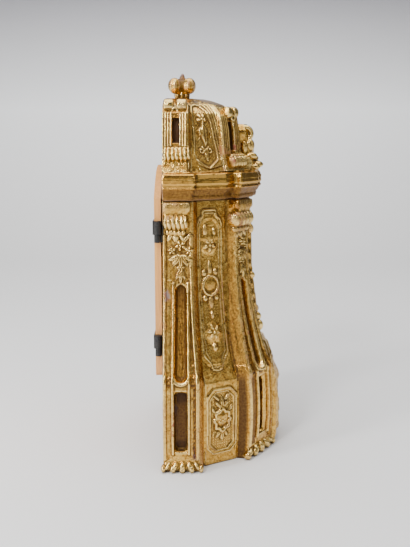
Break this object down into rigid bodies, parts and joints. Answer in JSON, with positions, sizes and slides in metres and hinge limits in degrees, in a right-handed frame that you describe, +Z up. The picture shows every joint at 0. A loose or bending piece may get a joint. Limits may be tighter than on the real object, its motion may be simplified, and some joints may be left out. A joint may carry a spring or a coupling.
{
  "type": "reliquary",
  "caption": "Gilded carved wooden reliquary with a half-domed crown, a bombé pedestal, a glazed front opening and a hinged wooden back door.",
  "frame": {"origin": "middle of the bounding box on the surface that the reliquary stands on", "axes": "+Z up, the glazed front faces -Y, the door is at +Y and its hinges are at -X"},
  "size_m": [0.211, 0.1331, 0.3965],
  "materials": {
    "gilding": "burnished water gilding over red-brown bole on carved wood, worn at the edges and dark in the hollows",
    "bare_wood": "bare planed softwood, pinkish tan, unvarnished",
    "iron": "blackened forged iron, matt",
    "old_glass": "thin clear sheet, slightly uneven"
  },
  "bodies": {
    "reliquary_body": {"case": "gilding", "crown": "gilding", "window_glass": "old_glass", "upper_hinge_pin": "iron", "lower_hinge_pin": "iron"},
    "door": {"back_door": "bare_wood", "upper_hinge_barrel": "iron", "lower_hinge_barrel": "iron"}
  },
  "joints": [
    {"name": "door_hinge", "type": "hinge", "parent": "reliquary_body", "child": "door", "pos_m": [-0.0782, 0.0615, 0.18], "axis": [0, 0, 1], "range_deg": [0, 170]}
  ]
}
